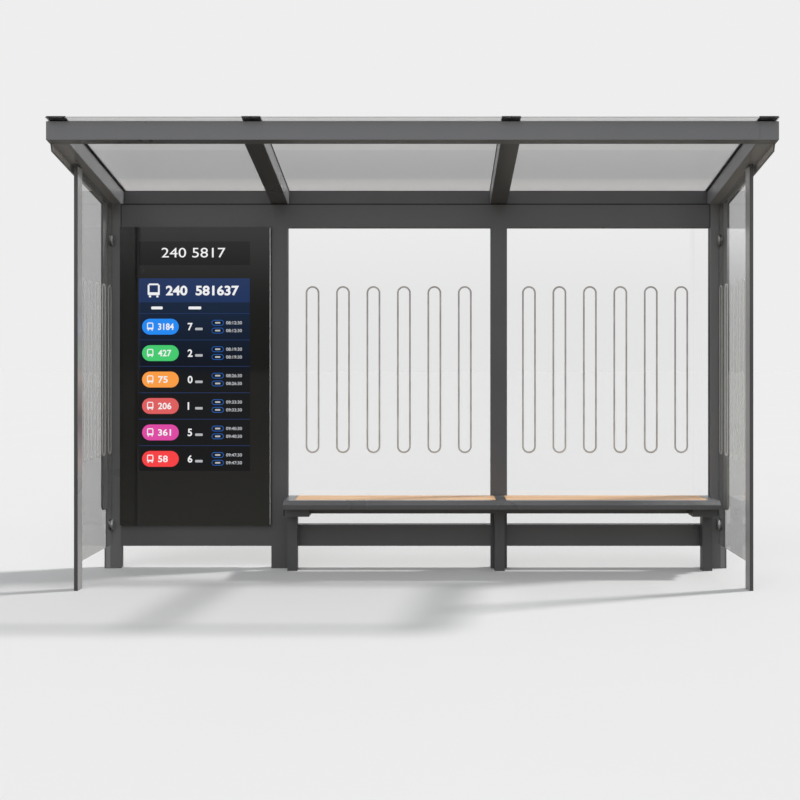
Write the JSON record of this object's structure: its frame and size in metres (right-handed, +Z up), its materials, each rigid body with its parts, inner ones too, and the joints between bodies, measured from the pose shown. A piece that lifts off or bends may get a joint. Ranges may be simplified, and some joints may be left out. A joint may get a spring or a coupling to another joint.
{
  "type": "bus shelter",
  "caption": "Free-standing bus shelter: steel frame with a sloping glass roof, glass back and sides, a timber-topped bench and an upright information display.",
  "frame": {"origin": "on the ground, at the middle of the shelter's length and depth", "axes": "+X along the shelter to the right as seen from the open front, +Y to the rear glass, +Z up"},
  "size_m": [3.84, 1.24, 2.5507],
  "materials": {
    "frame_paint": "powder coat, fine texture",
    "bench_paint": "powder coat, fine texture",
    "cabinet_paint": "powder coat, fine texture",
    "cap_strip": "satin",
    "gasket": "matte",
    "clear_glass": "polished",
    "roof_pane": "lightly frosted",
    "display_black": "polished black glass",
    "clamp_steel": "satin",
    "seat_wood": "oiled, clear finish"
  },
  "bodies": {
    "root": {"bench_brackets": "bench_paint", "bench_cross_members": "bench_paint", "bench_front_rail": "bench_paint", "bench_legs": "bench_paint", "bench_lower_beam": "bench_paint", "display_back_cover": "cabinet_paint", "display_cabinet": "cabinet_paint", "display_front_glass": "display_black", "front_post_left": "frame_paint", "front_post_right": "frame_paint", "glass_clamps_left": "clamp_steel", "glass_clamps_right": "clamp_steel", "header_beam": "frame_paint", "lower_rail_display": "frame_paint", "lower_rail_middle": "frame_paint", "lower_rail_right": "frame_paint", "post_fin_left": "frame_paint", "post_fin_right": "frame_paint", "rear_glass_middle": "clear_glass", "rear_glass_right": "clear_glass", "rear_post_1": "frame_paint", "rear_post_2": "frame_paint", "rear_post_3": "frame_paint", "rear_post_4": "frame_paint", "roof_cap_1": "cap_strip", "roof_cap_2": "cap_strip", "roof_cap_3": "cap_strip", "roof_cap_4": "cap_strip", "roof_front_beam": "frame_paint", "roof_gasket": "gasket", "roof_glass_1": "roof_pane", "roof_glass_2": "roof_pane", "roof_glass_3": "roof_pane", "roof_lip_left": "frame_paint", "roof_lip_right": "frame_paint", "roof_rafter_left": "frame_paint", "roof_rafter_right": "frame_paint", "roof_rear_beam": "frame_paint", "roof_side_beam_left": "frame_paint", "roof_side_beam_right": "frame_paint", "seat_board_left": "seat_wood", "seat_board_right": "seat_wood", "side_glass_left": "clear_glass", "side_glass_right": "clear_glass"}
  },
  "joints": []
}
